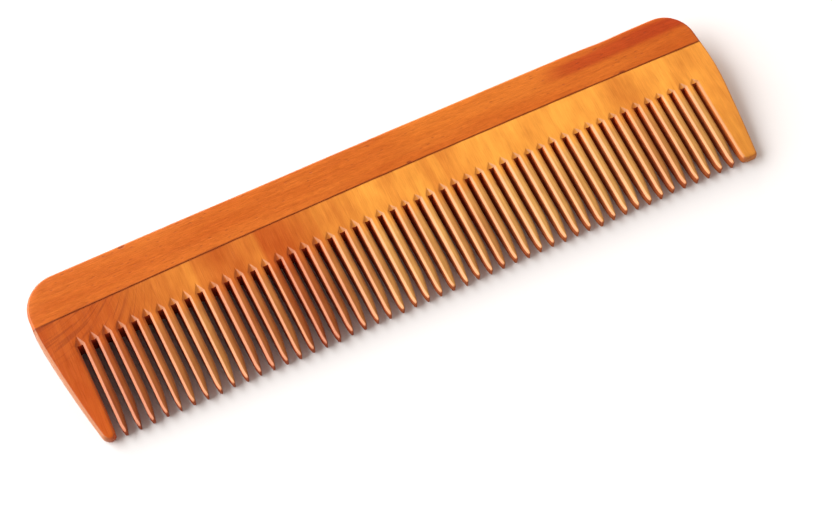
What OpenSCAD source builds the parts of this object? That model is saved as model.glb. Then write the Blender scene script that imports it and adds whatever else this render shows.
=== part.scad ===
// Wooden comb with one row of even teeth, lying flat on a surface.
// A spine board and a tooth board are glued edge to edge and shaped as one wedge-like blank.
// The blank is drawn with its middle plane at z = 0, its tips at y = 0 and its spine at +Y.
// It is then laid down on its lower face.

/* [Comb] */
// Length from end to end
length = 185.4; // [170:0.1:200]
// Width from the tips to the spine edge at the left end
width_left = 44.2; // [43.2:0.1:46]
// Width from the tips to the spine edge at the right end
width_right = 45.8; // [44:0.1:48]
// Thickness at the spine edge
spine_t = 9; // [7:0.1:10]
// Thickness at the tips
tip_t = 2.8; // [2.6:0.1:4]
// Radius of the sanded edges all round
edge_r = 1; // [0.6:0.1:1.2]

/* [Outline] */
// How far the left end leans in from its widest place to the tips
left_lean = 4.9; // [2:0.1:6]
// How far the right end leans in from its widest place to the tips
right_lean = 3.2; // [2:0.1:6]
// How far the right end leans in from its widest place to the spine
right_tuck = 1.1; // [0:0.1:3]
// Distance from the tips to the place where the left end is widest
left_shoulder_y = 29; // [24:0.1:30]
// Distance from the tips to the place where the right end is widest
right_shoulder_y = 26.7; // [24:0.1:30]
// Radius of the left corner of the spine
left_back_r = 9; // [5:0.1:10]
// Radius of the right corner of the spine
right_back_r = 8.4; // [5:0.1:10]
// Rise of the middle of the spine edge above a straight line
back_bow = 0.35; // [0.1:0.05:0.6]

/* [Boards] */
// Width of the spine board at the left end
spine_w_left = 11.5; // [8:0.1:12]
// Width of the spine board at the right end
spine_w_right = 11.1; // [8:0.1:12]
// Rise of the middle of the seam above a straight line
seam_bow = 0.9; // [0:0.05:1]
// Thickness of the dark glue line between the boards
glue_t = 0.2; // [0.1:0.05:0.3]
// Depth of the glue line below the faces of the boards
glue_recess = 0.15; // [0.05:0.05:0.3]

/* [Teeth] */
// Number of slots sawn into the tooth board
slots = 50; // [44:1:54]
// Width of one saw cut
kerf = 1.35; // [1:0.05:1.4]
// Length of the first and the last saw cut, from the tips to the roots
tooth_len = 24.7; // [22:0.1:25.5]
// Extra length of the saw cuts in the middle, where the line of the roots rises in a slight bow
root_bow = 0.4; // [0:0.05:0.8]
// Distance from the left end to the middle of the first slot
left_guard_w = 8.6; // [7:0.1:9]
// Distance from the right end to the middle of the last slot
right_guard_w = 8.2; // [7:0.1:9]
// Width of the bevel on each edge of a slot at the root
bevel_root = 0.6; // [0.3:0.05:0.65]
// Width of the bevel on each edge of a slot at the tips
bevel_tip = 0.7; // [0.5:0.05:0.8]
// Length of the pointed end of the bevels beyond the root
bevel_run = 2; // [1.5:0.1:3]
// Length of the pointed end of a tooth
point_len = 4; // [2.5:0.1:6]
// Width of the very tip of a tooth
point_w = 0.7; // [0.5:0.05:1]

/* [Hidden] */

// Radii of the gentle curves at the widest place of the ends
left_shoulder_r = 55;
right_shoulder_r = 65;
// Radius of the outer corner of a guard tooth, which has to exceed the inset of the edge
tip_corner_r = edge_r + 0.35;
// Radius of the slight bow of the spine edge
bow_r = 8000;
// Angles by which the right end leans in towards the tips and towards the spine
lean_angle = atan(right_lean / right_shoulder_y);
tuck_angle = atan(right_tuck / (width_right - right_shoulder_y));
// How far the right end would swell out if its widest place were not rounded
right_swell = right_shoulder_r
    * (cos((lean_angle - tuck_angle) / 2) / cos((lean_angle + tuck_angle) / 2) - 1);
// Free space on each side of the glue line
joint_gap = 0.05;
// How much a slot widens at its mouth on the side of a guard tooth
guard_flare = 0.35;
// Bend of a tooth's point, where 1 is a straight point
point_curve = 1.7;

// Facets of the rounded edges, of the seam and of a tooth's point
edge_steps = 2;
seam_steps = 12;
point_steps = 4;
// Turn of the outline at each point of a rounded corner, in degrees
corner_facet = 12;
// Part of the outermost edge facet that stands proud of a face before the faces are planed
proud = 0.08;

// Margin by which a cutting shape reaches past what it cuts
over = 2;
// The same margin above a bevel, where the grooves of two neighbours have to stay apart
bevel_over = 0.15;

// Colours of the boards and of the glue
spine_wood = [0.80, 0.42, 0.16];
tooth_wood = [0.92, 0.60, 0.25];
dark_glue = [0.33, 0.16, 0.08];

pitch = (length - left_guard_w - right_guard_w) / (slots - 1);
first_slot = -length / 2 + left_guard_w;
half_slope = (spine_t - tip_t) / 2 / width_left;
half_wedge = atan(half_slope);
seam_left = width_left - spine_w_left;
seam_right = width_right - spine_w_right;
joint_w = glue_t + 2 * joint_gap;

// Half of the blank's thickness at a distance y from the tips
function half_t(y) = tip_t / 2 + y * half_slope;

// Corners of the outline, counter-clockwise from the left guard tooth: x, y, radius
corners = [
    [-length / 2 + left_lean, 0, tip_corner_r],
    [length / 2 - right_lean, 0, tip_corner_r],
    [length / 2 + right_swell, right_shoulder_y, right_shoulder_r],
    [length / 2 - right_tuck, width_right, right_back_r],
    [0, (width_left + width_right) / 2 + back_bow, bow_r],
    [-length / 2, width_left, left_back_r],
    [-length / 2, left_shoulder_y, left_shoulder_r]
];

function toward(a, b) = (b - a) / norm(b - a);
function flat(corner) = [corner.x, corner.y];

// Round one corner whose neighbours are before and after, and move the arc inwards by inset
function round_corner(before, corner, after, inset) =
    let (
        back = toward(flat(corner), flat(before)),
        ahead = toward(flat(corner), flat(after)),
        half = acos(back * ahead) / 2,
        middle = flat(corner) + toward([0, 0], back + ahead) * corner[2] / sin(half),
        start = flat(corner) + back * corner[2] / tan(half) - middle,
        from = atan2(start.y, start.x),
        turn = 180 - 2 * half,
        steps = max(2, ceil(turn / corner_facet))
    )
    [for (i = [0:steps])
        let (angle = from + turn * i / steps)
        middle + (corner[2] - inset) * [cos(angle), sin(angle)]];

// The whole outline, moved inwards by inset
function outline(inset) = [
    for (i = [0:len(corners) - 1])
        each round_corner(
            corners[(i + len(corners) - 1) % len(corners)],
            corners[i],
            corners[(i + 1) % len(corners)],
            inset)
];

// One ring of the edge: the outline at a given inset and depth below the face, side 1 or -1
function ring(inset, depth, side) = [
    for (p = outline(inset)) [p.x, p.y, side * (half_t(p.y) - depth)]
];

// The ring at one facet's end, counted from the face, with the first one proud of the face
function edge_ring(step, side, shrink) =
    let (
        angle = 90 * max(step, 1) / edge_steps,
        inset = edge_r * (1 - sin(angle)),
        depth = edge_r * (1 - cos(angle)),
        reach = step == 0 ? 1 + proud : 0
    )
    ring(
        shrink + inset + reach * (edge_r - inset),
        shrink + depth * (1 - reach),
        side);

// Rings of the blank's edge from the upper face to the lower face
function edge_rings(shrink) = concat(
    [for (step = [0:edge_steps]) edge_ring(step, 1, shrink)],
    [for (step = [edge_steps:-1:0]) edge_ring(step, -1, shrink)]
);

// Height of a shallow bow at a place along it, from 0 at one end to 1 at the other
function bow(rise, along) = 4 * rise * along * (1 - along);

// The seam as seen from above: a slightly bowed line
function seam_y(x) =
    let (along = x / length + 0.5)
    seam_left + (seam_right - seam_left) * along + bow(seam_bow, along);

function seam_line(shift) = [
    for (i = [0:seam_steps])
        let (x = (length + 2 * over) * (i / seam_steps - 0.5))
        [x, seam_y(x) + shift]
];

function backwards(points) = [for (i = [len(points) - 1:-1:0]) points[i]];

// Where the widest ring of the blank and its lower face lie after it is tipped on that face
tipped_edge = [
    for (side = [-1, 1], p = ring(0, edge_r, side))
        [p.x, p.y * cos(half_wedge) - p.z * sin(half_wedge)]
];
tipped_x = [for (p = tipped_edge) p.x];
tipped_y = [for (p = tipped_edge) p.y];
rest_place = [
    -(min(tipped_x) + max(tipped_x)) / 2,
    -(min(tipped_y) + max(tipped_y)) / 2,
    half_t(0) * cos(half_wedge)
];

module laid_down() {
    translate(rest_place) rotate([half_wedge, 0, 0]) children();
}

// The space between the two faces of the blank
module between_faces(shrink) {
    front = -over;
    rear = max(width_left, width_right) + over;
    rotate([90, 0, 90])
        linear_extrude(length + 4 * over, center = true)
            polygon([
                [front, shrink - half_t(front)],
                [rear, shrink - half_t(rear)],
                [rear, half_t(rear) - shrink],
                [front, half_t(front) - shrink]]);
}

// The blank of both boards, with all its edges rounded
module blank(shrink = 0) {
    rings = edge_rings(shrink);
    count = len(rings[0]);
    sides = [
        for (r = [0:len(rings) - 2], i = [0:count - 1])
            [
                r * count + i,
                r * count + (i + 1) % count,
                (r + 1) * count + (i + 1) % count,
                (r + 1) * count + i
            ]
    ];
    upper = [for (i = [count - 1:-1:0]) i];
    lower = [for (i = [0:count - 1]) (len(rings) - 1) * count + i];
    intersection() {
        polyhedron([for (r = rings) each r], concat(sides, [upper, lower]));
        between_faces(shrink);
    }
}

// Everything on one side of the seam, seen from above
module spine_side() {
    linear_extrude(2 * spine_t, center = true)
        polygon(concat(
            seam_line(joint_w / 2),
            [[length / 2 + over, width_right + over], [-length / 2 - over, width_right + over]]));
}

module tooth_side() {
    linear_extrude(2 * spine_t, center = true)
        polygon(concat(
            [[-length / 2 - over, -over], [length / 2 + over, -over]],
            backwards(seam_line(-joint_w / 2))));
}

module glue_strip() {
    linear_extrude(2 * spine_t, center = true)
        polygon(concat(seam_line(-glue_t / 2), backwards(seam_line(glue_t / 2))));
}

// Half width of a slot that opens to the given half width at the tips
function slot_half(y, mouth) =
    kerf / 2 + (mouth - kerf / 2) * pow(max(0, 1 - y / point_len), point_curve);

// One side of the slot's outline near the tips: side is -1 or 1
function slot_side(side, mouth) = [
    for (i = [0:point_steps])
        let (y = point_len * (1 - i / point_steps))
        [side * slot_half(y, mouth), y]
];

// One saw cut, widened at the tips so that the teeth beside it are pointed
module saw_cut(depth, left_mouth, right_mouth) {
    linear_extrude(2 * spine_t, center = true)
        polygon(concat(
            [[-kerf / 2, depth]],
            slot_side(-1, left_mouth),
            [[-left_mouth, -over], [right_mouth, -over]],
            backwards(slot_side(1, right_mouth)),
            [[kerf / 2, depth]]));
}

// A straight groove with 45 degree sides, running from y = 0 towards -Y, its top at z = height
module vee(depth, height, run) {
    rotate([90, 0, 0])
        linear_extrude(run)
            polygon([[0, -depth], [depth + height, height], [-depth - height, height]]);
}

// The bevels of one slot on the upper face: a long groove that ends in a point past the root
module bevels(depth) {
    root_depth = kerf / 2 + bevel_root;
    widening = atan((bevel_tip - bevel_root) / depth);
    run_out = atan(root_depth / bevel_run);
    run = depth + bevel_run + over;
    translate([0, 0, half_t(0)]) rotate([half_wedge, 0, 0])
        translate([0, depth + bevel_run, 0])
            intersection() {
                rotate([widening, 0, 0])
                    vee(root_depth - bevel_run * tan(widening), bevel_over, run);
                rotate([run_out, 0, 0])
                    vee(0, run, 2 * run);
            }
}

module slot(number) {
    depth = tooth_len + bow(root_bow, number / (slots - 1));
    tooth_mouth = (pitch - point_w) / 2;
    guard_mouth = kerf / 2 + guard_flare;
    translate([first_slot + number * pitch, 0, 0]) {
        saw_cut(
            depth,
            number == 0 ? guard_mouth : tooth_mouth,
            number == slots - 1 ? guard_mouth : tooth_mouth);
        bevels(depth);
        mirror([0, 0, 1]) bevels(depth);
    }
}

// The back of the comb, with its grain along the length
module spine_board() {
    color(spine_wood) laid_down()
        intersection() {
            blank();
            spine_side();
        }
}

// The thin dark line of glue that shows between the boards
module glue_line() {
    color(dark_glue) laid_down()
        intersection() {
            blank(glue_recess);
            glue_strip();
        }
}

// The board with the teeth, its grain along the teeth
module tooth_board() {
    color(tooth_wood) laid_down()
        difference() {
            intersection() {
                blank();
                tooth_side();
            }
            for (number = [0:slots - 1]) slot(number);
        }
}

spine_board();
glue_line();
tooth_board();
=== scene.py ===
# A wooden comb lying on a pale floor: a spine board and a tooth board, glued edge to edge.
# Shapes are worked out in millimetres in the comb's flat frame, where x runs along the length,
# y from the tips to the spine and z up from the middle plane. layDown tips them onto the floor.
import bpy
import math
import numpy as np
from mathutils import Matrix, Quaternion, Vector


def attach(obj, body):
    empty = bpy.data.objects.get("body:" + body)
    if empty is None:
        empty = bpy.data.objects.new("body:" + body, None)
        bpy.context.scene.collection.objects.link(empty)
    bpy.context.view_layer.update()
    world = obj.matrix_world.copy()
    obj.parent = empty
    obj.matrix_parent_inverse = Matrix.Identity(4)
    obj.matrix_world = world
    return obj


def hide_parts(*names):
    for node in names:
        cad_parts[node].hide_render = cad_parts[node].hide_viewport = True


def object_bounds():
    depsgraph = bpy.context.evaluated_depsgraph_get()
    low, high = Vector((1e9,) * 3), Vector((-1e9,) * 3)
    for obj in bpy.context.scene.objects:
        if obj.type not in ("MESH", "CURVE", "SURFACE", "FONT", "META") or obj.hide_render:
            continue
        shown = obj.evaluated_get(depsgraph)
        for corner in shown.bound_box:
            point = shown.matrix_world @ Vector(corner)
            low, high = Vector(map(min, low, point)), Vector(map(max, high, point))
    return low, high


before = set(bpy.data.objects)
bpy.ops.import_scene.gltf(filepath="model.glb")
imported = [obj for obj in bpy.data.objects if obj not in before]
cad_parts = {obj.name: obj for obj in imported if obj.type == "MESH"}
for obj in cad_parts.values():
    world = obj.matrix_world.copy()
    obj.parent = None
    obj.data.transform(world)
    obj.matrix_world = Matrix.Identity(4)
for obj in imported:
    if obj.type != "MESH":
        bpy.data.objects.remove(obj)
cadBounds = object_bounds()
print("frame loaded")

mm = 0.001

# the blank that both boards are shaped from
comb = {
    "length": 185.4,
    "widthLeft": 44.2,
    "widthRight": 45.8,
    "spineThickness": 9.0,
    "tipThickness": 2.8,
    "edgeRadius": 1.0,
    "edgeAcross": 0.65,  # how wide the rounded edge is for its depth along the spine and the ends
    "leftLean": 4.9,
    "rightLean": 3.2,
    "rightCurl": 0.25,  # how far the right end curves in further near the tips
    "rightCurlLength": 14.0,
    "rightTuck": 1.1,
    "leftSwell": 0.4,  # how far the left end bulges between the tips and its shoulder
    "leftShoulderY": 31.5,
    "rightShoulderY": 26.7,
    "leftShoulderReach": 3.0,  # half length of the soft bend at the widest place
    "rightShoulderReach": 5.8,
    "rightSwell": 0.15,
    "seamInsetLeft": 11.5,  # from the spine edge to the seam
    "seamInsetRight": 11.1,
    "seamBow": 0.9,
    "jointWidth": 0.21,
    "sharpFrom": 38.0,  # degrees between faces from which an edge is shaded sharp
}

halfSlope = (comb["spineThickness"] - comb["tipThickness"]) / 2 / comb["widthLeft"]
tilt = math.atan(halfSlope)


# the blank

def softRamp(t, reach):
    # 0 below -reach, t above reach, and the parabola (t + reach)^2 / (4 reach) between them
    bend = np.clip(t + reach, 0, 2 * reach)
    return np.where(t > reach, t, bend**2 / (4 * reach))


def roundOver(distance, radius):
    # drop of a quarter round at a distance from the edge: radius - sqrt(radius^2 - (radius - distance)^2)
    inner = np.clip(radius - distance, 0, radius)
    return radius - np.sqrt(radius**2 - inner**2)


def bow(rise, along):
    # a parabola that is 0 at both ends and rise in the middle
    return 4 * rise * along * (1 - along)


def halfThickness(y):
    # half of the thickness grows evenly from the tips to the spine
    return comb["tipThickness"] / 2 + y * halfSlope


def leftSide(y):
    # a slightly bulging line that leans in towards the tips, with a soft bend at the shoulder
    t = y - comb["leftShoulderY"]
    slope = -comb["leftLean"] / comb["leftShoulderY"]
    bulge = bow(comb["leftSwell"], np.clip(y / comb["leftShoulderY"], 0, 1))
    return -comb["length"] / 2 + slope * (t - softRamp(t, comb["leftShoulderReach"])) - bulge


def rightSide(y):
    # two lines that lean in from the shoulder with a soft bend between them, and a curl at the tips
    t = y - comb["rightShoulderY"]
    below = (comb["rightLean"] + comb["rightSwell"]) / comb["rightShoulderY"]
    above = -(comb["rightTuck"] + comb["rightSwell"]) / (comb["widthRight"] - comb["rightShoulderY"])
    shoulder = comb["length"] / 2 + comb["rightSwell"]
    curl = comb["rightCurl"] * np.clip(1 - y / comb["rightCurlLength"], 0, 1) ** 2
    return shoulder + below * t + (above - below) * softRamp(t, comb["rightShoulderReach"]) - curl


def seamLine(x):
    # a straight line between the two ends with a slight bow
    along = x / comb["length"] + 0.5
    left = comb["widthLeft"] - comb["seamInsetLeft"]
    right = comb["widthRight"] - comb["seamInsetRight"]
    return left + (right - left) * along + bow(comb["seamBow"], along)


def layDown(points):
    # tips the flat comb onto its lower face: a turn about x, then a shift onto the frame's box
    x, y, z = points.T
    frontEdge = (comb["tipThickness"] / 2 - comb["edgeRadius"]) * math.sin(tilt)
    shift = (
        cadBounds[0].x / mm + comb["length"] / 2,
        cadBounds[0].y / mm + frontEdge,
        comb["tipThickness"] / 2 * math.cos(tilt),
    )
    turned = (x, y * math.cos(tilt) - z * math.sin(tilt), y * math.sin(tilt) + z * math.cos(tilt))
    return np.stack([a + b for a, b in zip(turned, shift)], -1) * mm


def openEdges(quads, count):
    # the sides of the quads that no other quad shares, each in its quad's own direction
    start = quads.ravel()
    end = np.roll(quads, -1, axis=1).ravel()
    free = ~np.isin(start * count + end, end * count + start)
    return start[free], end[free]


def closedShape(name, x, y, top, shown, levels, marks):
    # a grid sheet and its mirror image below, joined by walls of a few levels round every open edge
    # shown says which cells of the grid have a face, marks are distances that the mesh carries
    count = x.size
    index = np.arange(count).reshape(x.shape)
    cells = np.stack([index[:-1, :-1], index[:-1, 1:], index[1:, 1:], index[1:, :-1]], -1)
    quads = cells[shown]
    start, end = openEdges(quads, count)
    rim = np.unique(start)
    place = np.zeros(count, int)
    place[rim] = np.arange(rim.size)
    sheet = np.stack([x.ravel(), y.ravel(), top.ravel()], -1)
    mirrored = sheet * (1, 1, -1)
    middle = [sheet[rim] * (1, 1, 1 - 2 * level / levels) for level in range(1, levels)]
    points = np.concatenate([sheet, mirrored] + middle)

    def ringIndex(vertex, level):
        if level == 0:
            return vertex
        if level == levels:
            return vertex + count
        return 2 * count + (level - 1) * rim.size + place[vertex]

    walls = [
        np.stack([
            ringIndex(end, level),
            ringIndex(start, level),
            ringIndex(start, level + 1),
            ringIndex(end, level + 1),
        ], -1)
        for level in range(levels)
    ]
    faces = np.concatenate([quads, quads[:, ::-1] + count] + walls)
    used, faces = np.unique(faces, return_inverse=True)
    carried = {}
    for key, distance in marks.items():
        flat = distance.ravel()
        carried[key] = np.concatenate([flat, flat] + [flat[rim]] * (levels - 1))[used]
    return meshPiece(name, layDown(points[used]), faces.reshape(-1, 4), carried)


def meshPiece(name, points, faces, marks):
    mesh = bpy.data.meshes.new(name)
    mesh.from_pydata(points.tolist(), [], faces.tolist())
    mesh.validate()
    mesh.shade_smooth()
    mesh.set_sharp_from_angle(angle=math.radians(comb["sharpFrom"]))
    for key, distance in marks.items():
        mesh.attributes.new(key, "FLOAT", "POINT").data.foreach_set("value", distance)
    piece = bpy.data.objects.new(name, mesh)
    bpy.context.scene.collection.objects.link(piece)
    print(name, len(faces), "faces")
    return piece


# the tooth board

toothBoard = {
    "slots": 50,
    "kerf": 1.4,
    "toothLength": 24.7,
    "rootBow": 0.4,
    "leftGuard": 8.6,  # from the end to the middle of the first slot
    "rightGuard": 8.14,
    "bevelRoot": 0.52,
    "bevelTip": 0.54,
    "bevelSlope": 0.92,  # depth over width at the upper edge
    "bevelHollow": 0.85,  # how much the filed groove flattens towards its middle
    "bevelMostRight": 0.5,  # the widest bevel on each flank, as a share of the room on the tooth
    "bevelMostLeft": 1.3,
    "bevelRunLeft": 2.1,  # length of the pointed end of the bevels past the root
    "bevelRunRight": 1.3,
    "bevelFade": 0.25,  # how far a bevel fades out over the flat of a guard tooth
    "closedShare": 0.3,  # how wide the hidden columns of a slot stay past its root
    "creaseRoot": 0.04,  # softness of the bevels' upper edge
    "creaseTip": 0.14,
    "creaseMost": 0.6,  # as a share of the bevel
    "creaseNarrow": 0.09,  # as a share of the room on a narrow tooth
    "creaseWide": 0.3,  # as a share of the room past wideFrom
    "wideFrom": 0.5,
    "pointWidth": 0.5,
    "pointShare": 0.74,  # how much of the narrowing is on a tooth's right flank
    "pointRight": 8.0,  # length of the narrowing on the right and the left flank
    "pointLeft": 2.4,
    "pointCurve": 1.6,
    "pointRadius": 0.5,  # rounding of the points through their thickness
    "pointCorner": 0.46,  # rounding of the points seen from above, as a share of their width
    "leastRoom": 0.02,
    "leastReach": 0.05,
    "guardRoom": 2.0,  # room for the bevel on a guard tooth, and how it shrinks at the tip
    "guardNose": 1.2,
    "guardNarrowing": 1.6,
    "guardFlare": 0.35,
    "leastGuard": 1.7,  # width in edge radii under which a guard tooth's rounded edge shrinks
    "leftCornerOut": 1.7,  # corner radii of the guard teeth
    "leftCornerIn": 1.35,
    "rightCornerOut": 0.8,
    "rightCornerIn": 0.6,
    "slotFan": 0.25,  # how far the end slots lean inwards at the tips
    "slotDrift": 0.04,  # how unevenly it was sawn by hand
    "fanDrift": 0.05,
    "rootDrift": 0.1,
    "tipShortLeft": 0.12,  # how much shorter than the guards the teeth are
    "tipShortRight": 0.4,
    "tipShortLeast": 0.05,
    "tipDrift": 0.1,
    "guardShort": (0, 0.15),  # the same for the two guard teeth
    "bevelDrift": 0.09,
    "runDrift": (0.85, 1.2),
    "shaftRows": 20,
    "wallLevels": 3,
    "seed": 12,
}

# columns of one slot, counted from its middle: those up to the wall lie in the cut, and the last
# three cross the upper edge of the bevel
wallRank = 4
lastRank = 7
slotStep = np.arange(-lastRank, lastRank + 1)
slotSide = np.sign(slotStep)
slotRank = np.abs(slotStep)
onLeft = slotStep < 0

# rows: shares of the way over the pointed ends of the bevels, and of the way from there to the seam
overRun = np.array([0.12, 0.25, 0.38, 0.5, 0.62, 0.74, 0.86, 1.0, 1.12])
toSeam = np.array([0.12, 0.3, 0.5, 0.72, 0.9, 1.0])
quarters = np.array([0.25, 0.5, 0.75])


def toothRows():
    # distances from the tip, close together on the rounded nose and even up to the root
    nose = np.array([0, 0.03, 0.11, 0.24, 0.42, 0.65, 0.95, 1.35, 1.9, 2.6, 3.3, 4.0])
    shaft = np.linspace(nose[-1], toothBoard["toothLength"], toothBoard["shaftRows"])[1:]
    return np.concatenate([nose, shaft]) / toothBoard["toothLength"]


def sawnSlots():
    # where each slot lies and how deep it is, all a little off the even row, as sawn by hand
    b = toothBoard
    rng = np.random.default_rng(b["seed"])
    slots = b["slots"]
    share = np.arange(slots) / (slots - 1)
    pitch = (comb["length"] - b["leftGuard"] - b["rightGuard"]) / (slots - 1)
    centre = -comb["length"] / 2 + b["leftGuard"] + pitch * np.arange(slots)
    centre = centre + rng.normal(0, b["slotDrift"], slots)
    depth = b["toothLength"] + bow(b["rootBow"], share)
    depth = depth + rng.normal(0, b["rootDrift"], slots)
    run = b["bevelRunLeft"] + (b["bevelRunRight"] - b["bevelRunLeft"]) * share
    run = run * rng.uniform(*b["runDrift"], slots)
    bevelScale = 1 + rng.normal(0, b["bevelDrift"], (slots, 2))
    # how far the slots lean at the tips
    lean = -b["slotFan"] * centre / centre[-1] + rng.normal(0, b["fanDrift"], slots)
    tipY = np.linspace(b["tipShortLeft"], b["tipShortRight"], slots + 1)
    tipY = np.maximum(tipY + rng.normal(0, b["tipDrift"], slots + 1), b["tipShortLeast"])
    tipY[[0, -1]] = b["guardShort"]
    return {
        "pitch": pitch,
        "centre": centre[:, None],
        "depth": depth[:, None],
        "run": run[:, None],
        "bevelScale": np.where(onLeft, bevelScale[:, :1], bevelScale[:, 1:]),
        "lean": lean[:, None],
        # the tip of the tooth that each column belongs to
        "tip": np.where(onLeft, tipY[:-1, None], tipY[1:, None]),
    }


def slotRows(cut):
    # y of every row at every column: along the teeth, over the bevels' ends, and level from there
    along = toothRows()
    toothEnd = along.size
    overEnd = toothEnd + overRun.size
    y = np.zeros((overEnd + toSeam.size, *cut["tip"].shape))
    y[:toothEnd] = cut["tip"] + along[:, None, None] * (cut["depth"] - cut["tip"])
    y[toothEnd:overEnd] = cut["depth"] + overRun[:, None, None] * cut["run"]
    y[overEnd:] = y[overEnd - 1]
    return y, toothEnd, overEnd


def slotProfile(cut, fromTip, isGuard):
    # half width of the cut, width of its bevel and softness of the bevel's edge
    b = toothBoard
    # the cut opens at the tips by a power of the distance, so that the teeth are pointed
    openRight = np.clip(1 - fromTip / b["pointRight"], 0, 1) ** b["pointCurve"]
    openLeft = np.clip(1 - fromTip / b["pointLeft"], 0, 1) ** b["pointCurve"]
    narrowing = cut["pitch"] - b["kerf"] - b["pointWidth"]
    openRight = openRight * narrowing * b["pointShare"]
    openLeft = openLeft * narrowing * (1 - b["pointShare"])
    opening = np.where(onLeft, openRight, openLeft)
    flare = b["guardFlare"] / narrowing
    opening[:, 0, onLeft] *= flare / b["pointShare"]
    opening[:, -1, ~onLeft] *= flare / (1 - b["pointShare"])
    corner = np.full(isGuard.shape, b["pointWidth"] * b["pointCorner"])
    corner[0, onLeft] = b["leftCornerIn"]
    corner[-1, ~onLeft] = b["rightCornerIn"]
    rounding = roundOver(fromTip, corner)
    half = b["kerf"] / 2 + opening + rounding

    # bevel and crease are narrower where the tooth is, and the left bevel takes most of the point
    toothRoom = (cut["pitch"] - b["kerf"] - openRight - openLeft) / 2 - rounding
    guardRoom = b["guardRoom"] - roundOver(fromTip, b["guardNose"]) * b["guardNarrowing"]
    room = np.maximum(np.where(isGuard, guardRoom, toothRoom), b["leastRoom"])
    share = np.clip(fromTip / b["toothLength"], 0, 1)
    bevel = b["bevelTip"] + (b["bevelRoot"] - b["bevelTip"]) * share
    most = np.where(onLeft, b["bevelMostRight"], b["bevelMostLeft"]) * room
    bevel = np.minimum(bevel * cut["bevelScale"], most)
    crease = b["creaseTip"] + (b["creaseRoot"] - b["creaseTip"]) * np.sqrt(share)
    crease = np.minimum(crease, b["creaseMost"] * bevel)
    wide = np.maximum(room - b["wideFrom"], 0)
    crease = np.minimum(crease, b["creaseNarrow"] * room + b["creaseWide"] * wide)
    return half, bevel, crease


def slotColumns(half, reach, inward, outward):
    # distance of each column from the middle of its slot
    return np.select(
        [slotRank < wallRank, slotRank == wallRank, slotRank == wallRank + 1, slotRank == wallRank + 2],
        [half * slotRank / wallRank, half, reach - inward, reach],
        reach + outward)


def grooveDepth(reach, offset, crease):
    # slope * (t - hollow * t^2 / (2 reach)) at a distance t from the edge of the filed groove
    t = softRamp(reach - offset, crease)
    flattened = toothBoard["bevelHollow"] * t**2 / (2 * np.maximum(reach, toothBoard["leastReach"]))
    return toothBoard["bevelSlope"] * (t - flattened)


def joinSlots(grid):
    # the slots side by side, with three columns on the flat of each tooth between them
    leftPart = [a[:, :-1, -1:] for a in grid]
    rightPart = [a[:, 1:, :1] for a in grid]
    flat = [p + (q - p) * quarters for p, q in zip(leftPart, rightPart)]
    flat[2] = np.maximum(flat[2], np.minimum(leftPart[2], rightPart[2]))
    joined = []
    for a, f in zip(grid, flat):
        repeated = np.concatenate([a[:, :-1], f], 2).reshape(len(a), -1)
        joined.append(np.concatenate([repeated, a[:, -1]], 1))
    return joined


def makeToothBoard():
    b = toothBoard
    cut = sawnSlots()
    y, toothEnd, overEnd = slotRows(cut)
    isGuard = np.zeros(cut["tip"].shape, bool)
    isGuard[0, onLeft] = True
    isGuard[-1, ~onLeft] = True
    half, bevel, crease = slotProfile(cut, y - cut["tip"], isGuard)
    reach = half + bevel
    offset = slotColumns(half, reach, crease, crease)

    # past the root the two bevels of a slot close to a point
    root = slice(toothEnd - 1, toothEnd)
    closing = np.full((len(y) - toothEnd, 1, 1), overRun[-1])
    closing[:overRun.size, 0, 0] = overRun
    kept = np.maximum(1 - closing, b["closedShare"])
    offset[toothEnd:] = slotColumns(
        half[root] * kept, reach[root] * kept, crease[root] * kept, crease[root])
    reach[toothEnd:] = reach[root] * (1 - closing)
    crease[toothEnd:] = crease[root]

    wander = cut["lean"] * np.clip(1 - y / cut["depth"], 0, 1)
    x = cut["centre"] + wander + slotSide * offset
    # on to the seam, evenly
    seamY = seamLine(x[-1]) - comb["jointWidth"] / 2
    y[overEnd:] += toSeam[:, None, None] * (seamY - y[overEnd:])
    top = halfThickness(y) - grooveDepth(reach, offset, crease)
    top = top - roundOver(y - cut["tip"], np.where(isGuard, comb["edgeRadius"], b["pointRadius"]))

    inner = joinSlots([x, y, top])
    left = guardColumns(inner, 0, leftSide, 1, b["leftCornerOut"])
    right = guardColumns(inner, -1, rightSide, -1, b["rightCornerOut"])
    grid = [np.concatenate([p, q, r[:, ::-1]], 1) for p, q, r in zip(left, inner, right)]

    # the cells between the two walls of each slot are left open
    shown = np.ones((len(y) - 1, grid[0].shape[1] - 1), bool)
    perSlot = slotStep.size + quarters.size
    firstWall = left[0].shape[1] + lastRank - wallRank + perSlot * np.arange(b["slots"])
    openCells = firstWall[:, None] + np.arange(2 * wallRank)
    shown[:toothEnd - 1, openCells.ravel()] = False
    fromSeam = seamLine(grid[0]) - grid[1]
    return closedShape("tooth_wood_board", *grid, shown, b["wallLevels"], {"fromSeam": fromSeam})


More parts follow.
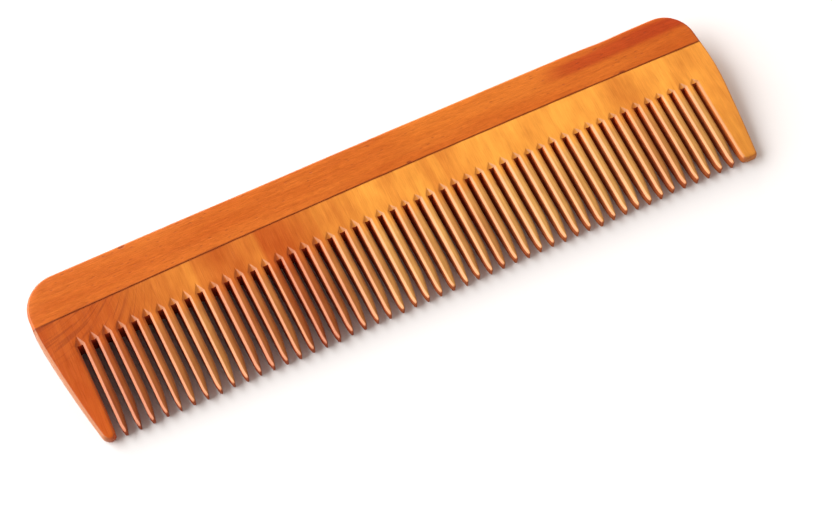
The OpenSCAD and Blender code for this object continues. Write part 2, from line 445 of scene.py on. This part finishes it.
def guardColumns(inner, edge, sideLine, inward, corner):
    # columns from the rounded outer edge of a guard tooth to the bevel of its slot
    radius = comb["edgeRadius"]
    narrow = comb["edgeAcross"]
    innerX, y, innerTop = [a[:, edge][:, None] for a in inner]
    shortWay = 0.01
    slope = inward * (sideLine(y) - sideLine(y + shortWay)) / shortWay
    outer = sideLine(y) + inward * roundOver(y, corner)
    width = np.abs(innerX - outer)
    across = np.minimum(1, width / (toothBoard["leastGuard"] * radius)) * narrow
    turn = np.radians([90, 72, 54, 38, 22, 8, 0])
    rounded = outer + inward * radius * (1 - np.sin(turn)) * across
    start = outer + inward * radius * across
    flat = start + (innerX - start) * quarters
    x = np.concatenate([rounded, flat], 1)
    y = np.broadcast_to(y, x.shape)
    # the edge falls off by the distance to the outline, which is an arc at the corner
    sideGap = inward * (x - sideLine(y)) / np.sqrt(1 + slope**2)
    atCorner = (sideGap < corner) & (y < corner)
    cornerGap = corner - np.hypot(corner - sideGap, corner - y)
    narrowHere = narrow + (1 - narrow) * np.clip(1 - y / corner, 0, 1)
    gap = np.where(atCorner, cornerGap / narrowHere, np.minimum(sideGap / narrow, y))
    top = halfThickness(y) - roundOver(np.maximum(gap, 0), radius)
    # the slot's bevel fades out over the flat of the guard tooth
    fade = np.maximum(halfThickness(y[:, :1]) - roundOver(y[:, :1], radius) - innerTop, 0)
    nearBevel = np.clip(1 - np.abs(x - innerX) / toothBoard["bevelFade"], 0, 1)
    return x, y, top - fade * nearBevel


# the spine board

spineBoard = {
    "leftBackRadius": 9.0,
    "rightBackRadius": 8.4,
    "backBow": 0.33,
    "backWear": 0.08,  # how far the faces fall towards the outer edge
    "backWearWidth": 5.0,
    "dipX": 69.0,  # a shallow dip worn into the spine edge
    "dipLength": 6.0,
    "dipDepth": 0.22,
    "waviness": 0.05,
    "waves": 6,
    "seamMargin": 2.0,  # how far the end rows start inside the ends of the seam
    "arcSteps": 22,
    "backSteps": 110,
    "endSteps": 2,
    "wallLevels": 6,
    "seed": 5,
}


def arcAround(before, corner, after, radius):
    # the arc that rounds one corner of a polyline, as points and outward directions
    back = (before - corner) / np.linalg.norm(before - corner)
    ahead = (after - corner) / np.linalg.norm(after - corner)
    half = math.acos(float(back @ ahead)) / 2
    toCentre = (back + ahead) / np.linalg.norm(back + ahead)
    centre = corner + toCentre * radius / math.sin(half)
    start = corner + back * radius / math.tan(half) - centre
    first = math.atan2(start[1], start[0])
    turn = -(math.pi - 2 * half)
    angle = first + turn * np.linspace(0, 1, spineBoard["arcSteps"])
    outward = np.stack([np.cos(angle), np.sin(angle)], -1)
    return centre + radius * outward, outward


def stretch(start, end, count):
    # evenly spaced points between two ends, without the ends
    share = np.linspace(0, 1, count + 2)[1:-1, None]
    return start + (end - start) * share


def wornBack(start, end, middleY):
    # the spine edge between its two arcs: a parabola less a bell-shaped dip and a sum of sine waves
    s = spineBoard
    back = stretch(start, end, s["backSteps"])
    along = (back[:, 0] - start[0]) / (end[0] - start[0])
    back[:, 1] += bow(middleY - (start[1] + end[1]) / 2, along)
    back[:, 1] -= s["dipDepth"] * np.exp(-((back[:, 0] - s["dipX"]) / s["dipLength"]) ** 2)
    rng = np.random.default_rng(s["seed"])
    number = np.arange(1, s["waves"] + 1)
    wave = rng.normal(0, 1, number.size) / number
    phase = rng.uniform(0, 2 * math.pi, number.size)
    ripple = (wave * np.sin(along[:, None] * (number * 2 * math.pi) + phase)).sum(1)
    back[:, 1] -= s["waviness"] * np.abs(ripple) * np.sin(math.pi * along)
    turned = np.gradient(back, axis=0)
    outward = np.stack([-turned[:, 1], turned[:, 0]], -1)
    return back, outward / np.linalg.norm(outward, axis=1, keepdims=True)


def spineOutline():
    # from the seam up the left end, round the corner, along the spine and down the right end
    s = spineBoard
    halfLength = comb["length"] / 2
    joint = comb["jointWidth"] / 2
    middleY = (comb["widthLeft"] + comb["widthRight"]) / 2 + s["backBow"]
    leftSeam = np.array([-halfLength, seamLine(-halfLength) + joint])
    rightSeamY = seamLine(halfLength) + joint
    rightSeam = np.array([rightSide(rightSeamY), rightSeamY])
    leftBack = np.array([-halfLength, comb["widthLeft"]])
    rightBack = np.array([halfLength - comb["rightTuck"], comb["widthRight"]])
    middle = np.array([0, middleY])
    leftArc, leftOut = arcAround(leftSeam, leftBack, middle, s["leftBackRadius"])
    rightArc, rightOut = arcAround(middle, rightBack, rightSeam, s["rightBackRadius"])
    back, backOut = wornBack(leftArc[-1], rightArc[0], middleY)
    leftEnd = np.vstack([leftSeam, stretch(leftSeam, leftArc[0], s["endSteps"])])
    rightEnd = np.vstack([stretch(rightArc[-1], rightSeam, s["endSteps"]), rightSeam])
    points = np.vstack([leftEnd, leftArc, back, rightArc, rightEnd])
    leftDown = np.tile([-1.0, 0.0], (len(leftEnd), 1))
    rightDown = np.tile(rightOut[-1], (len(rightEnd), 1))
    outward = np.vstack([leftDown, leftOut, backOut, rightOut, rightDown])
    return points, outward


def makeSpineBoard():
    # each row runs from the seam straight to the outline and then over its rounded edge
    s = spineBoard
    radius = comb["edgeRadius"]
    across = comb["edgeAcross"]
    points, outward = spineOutline()
    length = np.concatenate([[0], np.cumsum(np.linalg.norm(np.diff(points, axis=0), axis=1))])
    share = length / length[-1]
    margin = radius + s["seamMargin"]
    seamX = points[0, 0] + margin + (points[-1, 0] - points[0, 0] - 2 * margin) * share
    seam = np.stack([seamX, seamLine(seamX) + comb["jointWidth"] / 2], -1)
    flatEnd = points - outward * radius * across
    inwards = np.array([0, 0.1, 0.3, 0.5, 0.7, 0.88])
    flat = seam[:, None] + (flatEnd - seam)[:, None] * inwards[:, None]
    turn = np.radians([0, 12, 26, 40, 54, 68, 80, 90])
    inset = radius * (1 - np.sin(turn)) * across
    rounded = points[:, None] - outward[:, None] * inset[:, None]
    plan = np.concatenate([flat, rounded], 1)
    # the first and the last row lie on the seam
    plan[[0, -1], :, 1] = seamLine(plan[[0, -1], :, 0]) + comb["jointWidth"] / 2
    drop = np.concatenate([np.zeros(inwards.size), radius * (1 - np.cos(turn))])
    fromEdge = np.linalg.norm(points[:, None] - plan, axis=2)
    drop = drop + s["backWear"] * np.clip(1 - fromEdge / s["backWearWidth"], 0, 1) ** 2
    x, y = plan[..., 0], plan[..., 1]
    top = halfThickness(y) - drop
    # rows run from the left end over the spine, so columns are turned to keep the faces upwards
    grid = [a[:, ::-1].T[::-1] for a in (x, y, top, fromEdge, y - seamLine(x))]
    shown = np.ones((grid[0].shape[0] - 1, grid[0].shape[1] - 1), bool)
    marks = {"fromEdge": grid[3], "fromSeam": grid[4]}
    return closedShape("spine_wood_board", *grid[:3], shown, s["wallLevels"], marks)


# shader sums

class Value:
    # one shader socket, on which plain Python sums add their Math nodes
    def __init__(self, finish, socket):
        self.finish = finish
        self.socket = socket

    def sum(self, operation, *terms):
        return self.finish.node("ShaderNodeMath", {"operation": operation}, dict(enumerate(terms)))

    def __add__(self, other):
        return self.sum("ADD", self, other)

    def __sub__(self, other):
        return self.sum("SUBTRACT", self, other)

    def __rsub__(self, other):
        return self.sum("SUBTRACT", other, self)

    def __mul__(self, other):
        return self.sum("MULTIPLY", self, other)

    def __truediv__(self, other):
        return self.sum("DIVIDE", self, other)

    def __pow__(self, other):
        return self.sum("POWER", self, other)

    __radd__ = __add__
    __rmul__ = __mul__

    def swing(self, amount):
        # a noise that swings by an amount about 0
        return (self - 0.5) * amount


class Finish:
    # a material whose nodes are added by one method
    def __init__(self, name, **surface):
        self.material = bpy.data.materials.new(name)
        self.material.use_nodes = True
        self.tree = self.material.node_tree
        self.surface = self.tree.nodes["Principled BSDF"]
        for socket, value in surface.items():
            self.surface.inputs[socket.replace("_", " ")].default_value = value

    def node(self, kind, settings=None, inputs=None, output=0):
        made = self.tree.nodes.new(kind)
        for key, value in (settings or {}).items():
            if key == "stops":
                self.setStops(made.color_ramp, value)
            else:
                setattr(made, key, value)
        for key, value in (inputs or {}).items():
            if isinstance(value, Value):
                self.tree.links.new(value.socket, made.inputs[key])
            else:
                made.inputs[key].default_value = value
        return Value(self, made.outputs[output])

    def setStops(self, ramp, stops):
        while len(ramp.elements) < len(stops):
            ramp.elements.new(0.5)
        for element, (place, colour) in zip(ramp.elements, stops):
            element.position = place
            element.color = colour

    def place(self, scale=(1, 1, 1), shift=(0, 0, 0)):
        # object coordinates in millimetres, scaled and shifted
        coordinates = self.node("ShaderNodeTexCoord", output="Object")
        return self.node("ShaderNodeMapping", None, {
            "Vector": coordinates,
            "Location": shift,
            "Scale": tuple(1000 * s for s in scale),
        })

    def noise(self, vector, detail=2.0, roughness=0.5, distortion=0.0):
        return self.node("ShaderNodeTexNoise", None, {
            "Vector": vector,
            "Scale": 1.0,
            "Detail": detail,
            "Roughness": roughness,
            "Distortion": distortion,
        })

    def dots(self, vector, scale=1.0):
        # distance from the nearest of many scattered points
        return self.node("ShaderNodeTexVoronoi", None, {"Vector": vector, "Scale": scale})

    def scaled(self, axes, scale):
        products = [a * s for a, s in zip(axes, scale)]
        return self.node("ShaderNodeCombineXYZ", None, dict(enumerate(products)))

    def mix(self, share, first, second, blend="MIX"):
        settings = {"data_type": "RGBA", "blend_type": blend, "clamp_factor": True}
        return self.node("ShaderNodeMix", settings, {0: share, 6: first, 7: second}, 2)

    def grey(self, value):
        return self.node("ShaderNodeCombineColor", None, {0: value, 1: value, 2: value})

    def axes(self, vector):
        return [self.node("ShaderNodeSeparateXYZ", None, {0: vector}, i) for i in range(3)]

    def mark(self, name):
        # a distance in millimetres that the mesh carries
        return self.node("ShaderNodeAttribute", {"attribute_name": name}, output="Fac")

    def absolute(self, value):
        return value.sum("ABSOLUTE", value)

    def spot(self, place, x, y, width, height):
        # 1 in the middle of a small oval on the face, 0 outside it
        placeX, placeY = self.axes(place)[:2]
        far = ((placeX - x) / width) ** 2 + ((placeY - y) / height) ** 2
        return 1 - self.step(far, 0.3, 1.0)

    def step(self, value, low, high):
        # 0 below low and 1 above high, smooth between them
        settings = {"interpolation_type": "SMOOTHSTEP"}
        return self.node("ShaderNodeMapRange", settings, {0: value, 1: low, 2: high})

    def use(self, value, socket):
        self.tree.links.new(value.socket, self.surface.inputs[socket])

    def bump(self, height, distance):
        settings = {"Height": height, "Distance": distance * mm, "Strength": 1.0}
        self.use(self.node("ShaderNodeBump", None, settings), "Normal")


def seen(red, green, blue):
    # a colour as seen on a screen, 0 to 255, made linear
    channels = np.array([red, green, blue]) / 255
    linear = np.where(channels < 0.04045, channels / 12.92, ((channels + 0.055) / 1.055) ** 2.4)
    return (*linear.tolist(), 1)


def grey(value):
    return (value, value, value, 1)


# finishes

toothWood = {
    "sapwood": seen(220, 148, 56),
    "heartwood": seen(162, 68, 8),
    "pore": seen(120, 48, 12),
    "line": seen(112, 40, 8),
    # paler, greyer colour painted as a highlight on faces turned towards the key light
    "paleHighlight": seen(182, 139, 110),
    # greyer tan painted as a sheen on the outer end walls turned towards the key light
    "edge": seen(156, 106, 72),
    # painted shade and sheen on the teeth's faces that are not turned towards the key light
    "flatsShadeAndSheen": (0.76, 0.92, 1.7, 1),  # multiplies the flats of the teeth
    "sawn": seen(206, 74, 22),
    # painted shade for the walls at the roots of the slots
    "rootWallShade": seen(92, 22, 8),
    "stain": seen(104, 40, 12),
    # share of sapwood along the length: millimetres from the middle, share
    "zones": (
        (-92, 0.02), (-74, 0.06), (-68, 0.22), (-60, 0.34), (-52.3, 0.5), (-51.9, 0.28),
        (-46, 0.12), (-40, 0.2), (-35.2, 0.33), (-34.6, 0.03), (-28, 0.06), (-20.2, 0.32),
        (-19.8, 0.52), (-14.3, 0.42), (-4.5, 0.88), (1, 0.6), (4.8, 0.85), (5.2, 0.7),
        (8, 0.95), (12, 0.5), (13, 0.75), (14.6, 0.7), (15, 0.45), (28, 1.0),
        (41, 0.82), (48, 0.95), (58, 0.88), (66.5, 0.45), (74, 0.8), (92, 0.75),
    ),
    "zoneSlant": 0.02,
    "zoneWander": 0.8,  # how far the ends of the zones and the grain wander, in millimetres
    "grainWander": 1.5,
    "chip": (25.8, -2.7, 0.8, 1.0),  # x, y and half sizes of a small dark chip
    # how often each pattern repeats per millimetre along x, y and z
    "wanderScale": (0.05, 0.03, 0.08),
    "stripeScale": (0.9, 0.035, 0.2),
    "fibreScale": (3.2, 0.2, 0.6),
    "mottleScale": (0.22, 0.12, 0.2),
    "mottleShift": (7, 3, 1),
    "lineScale": (1.5, 0.1, 0.2),
    "poreScale": 0.5,  # of the fibres' scale
    # how much the patterns change the share of sapwood, the brightness and the roughness
    "shareStripes": 0.3,
    "shareMottle": 0.8,
    "heartShare": 0.25,  # how much of that is left in the heartwood
    "shadeFibres": 0.4,
    "shadeStripes": 0.16,
    "shadeMottle": 0.2,
    "roughFibres": 0.3,
    "roughMottle": 0.1,
    "roughSawn": 0.35,
    # the dark lines follow y = lineRise * exp(lineRate * x + lineStart)
    "lineRate": 0.0935,
    "lineStart": 8.25,
    "lineRise": 2.9,
    # how much of each colour is mixed in
    "poreMost": 0.26,
    "poreMix": 0.8,
    "lineMix": 0.4,
    # the pale mixes paint a highlight and the end wall mix a sheen on faces turned towards the key light;
    # the root mix paints shade, and the point mix end grain and shade
    "paleHighlightMix": 0.35,
    "paleHighlightSapwood": 0.3,
    "endWallSheenMix": 0.8,
    "sawnMix": 0.7,
    "rootShadeMix": 0.7,
    "pointEndGrainAndShadeMix": 0.55,
    "stainMix": 0.6,
    "stainUneven": 0.3,
    # how much darker the flats of the teeth are near the tips, in heartwood and less in sapwood
    "tipDarker": 0.24,
    "tipDarkerHeartwood": 1.3,
    "tipDarkerSapwood": 0.5,
    "tipDarkerGuards": 1.1,  # the same for the guard teeth, and how much lighter the left one is
    "tipLighterLeft": 0.35,
    # each pair below is where a change begins and where it is complete, in millimetres
    "endWall": (84.8, 86.0),  # from the middle
    "guard": (83.5, 85.5),
    "tipDarkerRightGuard": (60.0, 80.0),
    "sweptX": (-74.0, -58.0),
    "sweptY": (-4.0, 4.0),
    "root": (-6.0, -3.0),
    # where the painted shade and sheen on the teeth stop
    "flatsShadeAndSheenStop": (-3.0, 1.5),
    "tipDarkeningStop": (-19.0, 1.0),
    "pastPoint": (-22.4, -21.6),
    "pastStain": (0.12, 0.42),
    # the same in the values of a pattern
    "pastPore": (0.05, 0.2),
    "poreMottle": (0.4, 0.6),
    "pastLine": (0.36, 0.52),
    # the same in one part of a face's direction
    "level": (0.3, 0.6),
    "facingLeft": (0.2, 0.45),
    "facingTips": (0.3, 0.7),
    "levelAtPoint": (0.6, 0.9),
    "specular": 0.25,
    "roughness": 0.45,
    "bump": 0.05,
    "bumpStripes": 0.5,
}


def makeToothWood():
    w = toothWood
    f = Finish("tooth_wood", Roughness=w["roughness"], Specular_IOR_Level=w["specular"])
    place = f.place()
    x, y, z = f.axes(place)
    normal = f.axes(f.node("ShaderNodeTexCoord", output="Normal"))
    # the grain runs along the teeth and wanders a little
    wander = f.noise(f.place(w["wanderScale"]), 1.0) - 0.5
    grain = x + wander * w["grainWander"]
    half = comb["length"] / 2
    zones = [((p + half) / comb["length"], grey(v)) for p, v in w["zones"]]
    banded = x + y * w["zoneSlant"] + wander * w["zoneWander"]
    sap = f.node("ShaderNodeValToRGB", {"stops": zones}, {0: (banded + half) / comb["length"]})
    stripes = f.noise(f.scaled((grain, y, z), w["stripeScale"]), 2.0, 0.5)
    fineLines = f.scaled((grain, y, z), w["fibreScale"])
    fibres = f.noise(fineLines, 3.0, 0.65)
    mottle = f.noise(f.place(w["mottleScale"], w["mottleShift"]), 3.0)
    lively = w["heartShare"] + sap * (1 - w["heartShare"])
    share = sap + (stripes.swing(w["shareStripes"]) + mottle.swing(w["shareMottle"])) * lively
    colour = f.mix(share, w["heartwood"], w["sapwood"])
    shade = 1 + fibres.swing(w["shadeFibres"]) + stripes.swing(w["shadeStripes"])
    shade = shade + mottle.swing(w["shadeMottle"])
    colour = f.mix(1.0, colour, f.grey(shade), "MULTIPLY")
    # small dark pores drawn out along the grain
    pores = f.dots(fineLines, w["poreScale"])
    pore = (1 - f.step(pores, *w["pastPore"])) * f.step(mottle, *w["poreMottle"]) * w["poreMost"]
    pore = pore + f.spot(place, *w["chip"])
    colour = f.mix(pore * w["poreMix"], colour, w["pore"])
    # at the left end thin dark lines sweep out of the seam and down into the grain
    sweep = x * w["lineRate"] + w["lineStart"]
    swept = y - sweep.sum("EXPONENT", sweep) * w["lineRise"]
    lines = f.noise(f.scaled((swept, x, z), w["lineScale"]), 2.0, 0.6)
    dark = 1 - f.step(lines, *w["pastLine"])
    leftEnd = (1 - f.step(x, *w["sweptX"])) * f.step(y, *w["sweptY"])
    colour = f.mix(dark * leftEnd * w["lineMix"], colour, w["line"])
    # the bevels and the outer end walls turned towards the key light are paler and greyer, a painted
    # highlight and sheen on their lit side; the sawn walls of the slots are redder, the walls at the
    # roots get painted shade, and the ends of the points are darker as end grain and painted shade
    upright = 1 - f.step(f.absolute(normal[2]), *w["level"])
    ends = f.step(f.absolute(x), *w["endWall"])
    sawn = upright * (1 - ends)
    # faces turned towards the key light, which get a painted highlight
    keyLitFaces = f.step(0 - normal[0], *w["facingLeft"]) * (1 - sawn)
    paleHighlight = w["paleHighlightMix"] + sap * w["paleHighlightSapwood"]
    colour = f.mix(keyLitFaces * (1 - ends) * paleHighlight, colour, w["paleHighlight"])
    colour = f.mix(keyLitFaces * ends * w["endWallSheenMix"], colour, w["edge"])
    colour = f.mix(sawn * w["sawnMix"], colour, w["sawn"])
    # painted shade on the walls at the roots
    rootWallShade = sawn * f.step(0 - normal[1], *w["facingTips"]) * f.step(y, *w["root"])
    colour = f.mix(rootWallShade * w["rootShadeMix"], colour, w["rootWallShade"])
    # end grain and painted shade at the ends of the points
    points = 1 - f.step(f.absolute(normal[2]), *w["levelAtPoint"])
    points = points * (1 - f.step(y, *w["pastPoint"]))
    colour = f.mix(points * w["pointEndGrainAndShadeMix"], colour, w["pore"])
    # painted shade and sheen make the teeth's faces that are not turned towards the key light darker
    # and greyer, and the flats of the teeth are darker towards the tips
    flats = (1 - keyLitFaces) * (1 - f.step(f.absolute(x), *w["guard"]))
    colour = f.mix(flats * (1 - f.step(y, *w["flatsShadeAndSheenStop"])), colour, w["flatsShadeAndSheen"], "MULTIPLY")
    # the right guard tooth is darker towards its tip too, and the left one a little lighter
    guards = (1 - flats) * (f.step(x, *w["tipDarkerRightGuard"]) * w["tipDarkerGuards"] - w["tipLighterLeft"])
    tipDarkening = (1 - f.step(y, *w["tipDarkeningStop"])) * (flats + guards) * (1 - keyLitFaces) * w["tipDarker"]
    tipDarkening = tipDarkening * (w["tipDarkerHeartwood"] - sap * w["tipDarkerSapwood"])
    colour = f.mix(1.0, colour, f.grey(1 - tipDarkening), "MULTIPLY")
    # glue has soaked into the edge of the seam
    stain = 1 - f.step(f.mark("fromSeam") + mottle.swing(w["stainUneven"]), *w["pastStain"])
    colour = f.mix(stain * w["stainMix"], colour, w["stain"])
    f.use(colour, "Base Color")
    rough = w["roughness"] + fibres.swing(w["roughFibres"]) + mottle.swing(w["roughMottle"])
    f.use(rough + sawn * w["roughSawn"], "Roughness")
    f.bump(fibres + stripes * w["bumpStripes"] - pore, w["bump"])
    return f.material


spineWood = {
    "light": seen(190, 102, 29),
    "middle": seen(173, 79, 14),
    "dark": seen(156, 50, 6),
    "speck": seen(110, 40, 12),
    "stain": seen(104, 40, 12),
    "edgeMark": (-65.5, 20.5, 1.1, 0.5),  # x, y and half sizes of a small dark mark
    "seamDents": ((8.1, 11.7, 0.8, 0.4), (69.1, 11.8, 1.1, 0.45)),
    # how often each pattern repeats per millimetre along x, y and z
    "broadScale": (0.03, 0.16, 0.16),
    "broadShift": (3, 1, 5),
    "stripeScale": (0.09, 1.1, 1.1),
    "fibreScale": (0.5, 3.4, 3.4),
    "speckScale": (0.35, 1.0, 1.0),
    # how much the patterns change the share of the light colour, the brightness and the roughness
    "lightShare": 0.42,
    "shareBroad": 1.3,
    "shareStripes": 0.8,
    "shareLighter": 0.7,
    "shadeFibres": 0.7,
    "shadeStripes": 0.3,
    "roughFibres": 0.3,
    "roughBroad": 0.1,
    "patchStripes": 0.5,
    "bandSlant": 0.008,
    "bandUneven": 3,
    # how much of each colour is mixed in
    "bandMix": 0.8,
    "rightMix": 0.12,
    "speckMost": 0.6,
    "rimMost": 0.7,
    "speckMix": 0.65,
    "stainMix": 0.6,
    "stainUneven": 0.3,
    # each pair below is where a change begins and where it is complete, in millimetres
    "lighterFrom": (2.0, 16.0),
    "lighterTo": (44.0, 56.0),
    "pastLighter": (3.0, 11.0),  # from the outer edge
    "bandFrom": (46.0, 60.0),
    "bandLow": (15.6, 17.6),
    "bandHigh": (19.6, 21.2),
    "rightEnd": (66.0, 86.0),
    "pastRim": (0.1, 0.6),
    "pastStain": (0.12, 0.42),
    # the same in the values of a pattern
    "pastSpeck": (0.05, 0.24),
    "speckPatches": (0.52, 0.8),
    "rimPatches": (0.36, 0.5),
    "specular": 0.28,
    "roughness": 0.45,
    "bump": 0.05,
    "bumpStripes": 0.5,
}


def makeSpineWood():
    w = spineWood
    f = Finish("spine_wood", Roughness=w["roughness"], Specular_IOR_Level=w["specular"])
    place = f.place()
    x, y = f.axes(place)[:2]
    broad = f.noise(f.place(w["broadScale"], w["broadShift"]), 2.0)
    stripes = f.noise(f.place(w["stripeScale"]), 3.0, 0.6, 0.4)
    fibres = f.noise(f.place(w["fibreScale"]), 3.0, 0.65)
    # lighter along the outer edge right of the middle
    fromEdge = f.mark("fromEdge")
    lighter = f.step(x, *w["lighterFrom"]) * (1 - f.step(x, *w["lighterTo"]))
    lighter = lighter * (1 - f.step(fromEdge, *w["pastLighter"]))
    share = w["lightShare"] + broad.swing(w["shareBroad"]) + stripes.swing(w["shareStripes"])
    colour = f.mix(share + lighter * w["shareLighter"], w["middle"], w["light"])
    # a redder band towards the spine edge near the right end
    uneven = y - x * w["bandSlant"] + broad.swing(w["bandUneven"])
    band = f.step(uneven, *w["bandLow"]) * (1 - f.step(uneven, *w["bandHigh"]))
    band = band * f.step(x, *w["bandFrom"])
    right = f.step(x, *w["rightEnd"]) * w["rightMix"]
    colour = f.mix(right + band * w["bandMix"], colour, w["dark"])
    shade = 1 + fibres.swing(w["shadeFibres"]) + stripes.swing(w["shadeStripes"])
    colour = f.mix(1.0, colour, f.grey(shade), "MULTIPLY")
    # dark specks, a dark rim in places, and the marks
    specks = f.dots(f.place(w["speckScale"]))
    patches = f.step(broad + stripes * w["patchStripes"], *w["speckPatches"])
    speck = (1 - f.step(specks, *w["pastSpeck"])) * patches * w["speckMost"]
    rim = (1 - f.step(fromEdge, *w["pastRim"])) * f.step(broad, *w["rimPatches"])
    speck = speck + rim * w["rimMost"]
    for mark in (w["edgeMark"], *w["seamDents"]):
        speck = speck + f.spot(place, *mark)
    colour = f.mix(speck * w["speckMix"], colour, w["speck"])
    # glue has soaked into the edge of the seam
    stain = 1 - f.step(f.mark("fromSeam") + stripes.swing(w["stainUneven"]), *w["pastStain"])
    colour = f.mix(stain * w["stainMix"], colour, w["stain"])
    f.use(colour, "Base Color")
    rough = w["roughness"] + fibres.swing(w["roughFibres"]) + broad.swing(w["roughBroad"])
    f.use(rough, "Roughness")
    f.bump(fibres + stripes * w["bumpStripes"] - speck, w["bump"])
    return f.material


glue = {
    "dark": seen(122, 46, 14),
    "light": seen(162, 76, 28),
    "patchScale": (0.5, 0.5, 0.5),
    "specular": 0.1,
    "roughness": 0.8,
    "bump": 0.05,
}


def makeGlue():
    f = Finish("glue", Roughness=glue["roughness"], Specular_IOR_Level=glue["specular"])
    patches = f.noise(f.place(glue["patchScale"]), 3.0)
    f.use(f.mix(patches, glue["dark"], glue["light"]), "Base Color")
    f.bump(patches, glue["bump"])
    return f.material


# assembly

pieces = {
    "tooth_board": (makeToothBoard, makeToothWood, "tooth_wood"),
    "spine_board": (makeSpineBoard, makeSpineWood, "spine_wood"),
}
for node, (makeShape, makeFinish, slot) in pieces.items():
    piece = makeShape()
    piece.data.materials.append(makeFinish())
    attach(piece, "root")
    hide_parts(node)

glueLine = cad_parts["glue_line"]
glueLine.data.materials.clear()
glueLine.data.materials.append(makeGlue())
print("boards and glue line finished")


# floor, light and camera

stage = {
    "floorSize": 4000.0,
    "floorDrop": 0.02,
    "floorGrey": 0.68,
    "floorRoughness": 0.9,
    # the camera: millimetres and degrees, and the half pixel by which the picture is off its middle
    "target": (-2.202, -12.995, 4.205),
    "distance": 451.0,
    "azimuth": -115.41,
    "elevation": 59.608,
    "roll": -1.222,
    "lens": 80.05,
    "sensor": 36.0,
    "nearest": 10.0,
    "pictureWidth": 832,
    "pixelsOff": (-0.5, 0.5),
    # azimuth, elevation, width and height in metres, power
    "keyLight": (154.0, 31.0, 3.2, 2.0, 145.0),
    "fillLight": (-12.0, 38.0, 2.6, 1.6, 20.0),
    "frontLight": (-100.0, 14.0, 2.6, 0.5, 24.0),
    "backLight": (92.0, 13.0, 3.0, 0.8, 80.0),
    "lightDistance": 2.2,  # metres
    "worldLight": 0.14,
    "worldTint": (1.0, 0.89, 0.84, 1),
    "warmTint": (1.0, 0.83, 0.74),  # colour of every light but the key
}


def direction(azimuth, elevation):
    a, e = math.radians(azimuth), math.radians(elevation)
    return Vector((math.cos(e) * math.cos(a), math.cos(e) * math.sin(a), math.sin(e)))


def makeFloor():
    half = stage["floorSize"] / 2 * mm
    z = -stage["floorDrop"] * mm
    corners = [(-half, -half, z), (half, -half, z), (half, half, z), (-half, half, z)]
    mesh = bpy.data.meshes.new("floor")
    mesh.from_pydata(corners, [], [(0, 1, 2, 3)])
    floor = bpy.data.objects.new("floor", mesh)
    bpy.context.scene.collection.objects.link(floor)
    f = Finish("floor", Base_Color=grey(stage["floorGrey"]), Roughness=stage["floorRoughness"])
    mesh.materials.append(f.material)


def makeLight(name, azimuth, elevation, width, height, power, tint=(1, 1, 1)):
    data = bpy.data.lights.new(name, "AREA")
    data.color = tint
    data.shape = "RECTANGLE"
    data.size = width
    data.size_y = height
    data.energy = power
    light = bpy.data.objects.new(name, data)
    towards = direction(azimuth, elevation)
    light.location = towards * stage["lightDistance"]
    light.rotation_euler = towards.to_track_quat("Z", "Y").to_euler()
    bpy.context.scene.collection.objects.link(light)


def makeWorld():
    world = bpy.data.worlds.new("studio")
    world.use_nodes = True
    background = world.node_tree.nodes["Background"]
    background.inputs["Color"].default_value = stage["worldTint"]
    background.inputs["Strength"].default_value = stage["worldLight"]
    bpy.context.scene.world = world


def makeCamera():
    data = bpy.data.cameras.new("camera")
    data.lens = stage["lens"]
    data.sensor_width = stage["sensor"]
    data.shift_x, data.shift_y = [off / stage["pictureWidth"] for off in stage["pixelsOff"]]
    data.clip_start = stage["nearest"] * mm
    camera = bpy.data.objects.new("camera", data)
    towards = direction(stage["azimuth"], stage["elevation"])
    target = Vector(stage["target"]) * mm
    camera.location = target + towards * stage["distance"] * mm
    roll = Quaternion((0, 0, 1), math.radians(stage["roll"]))
    camera.rotation_euler = (towards.to_track_quat("Z", "Y") @ roll).to_euler()
    bpy.context.scene.collection.objects.link(camera)
    bpy.context.scene.camera = camera


makeFloor()
makeLight("key", *stage["keyLight"])
makeLight("fill", *stage["fillLight"], stage["warmTint"])
makeLight("front", *stage["frontLight"], stage["warmTint"])
makeLight("back", *stage["backLight"], stage["warmTint"])
makeWorld()
makeCamera()
bpy.context.scene.view_settings.view_transform = "Standard"
print("stage set")
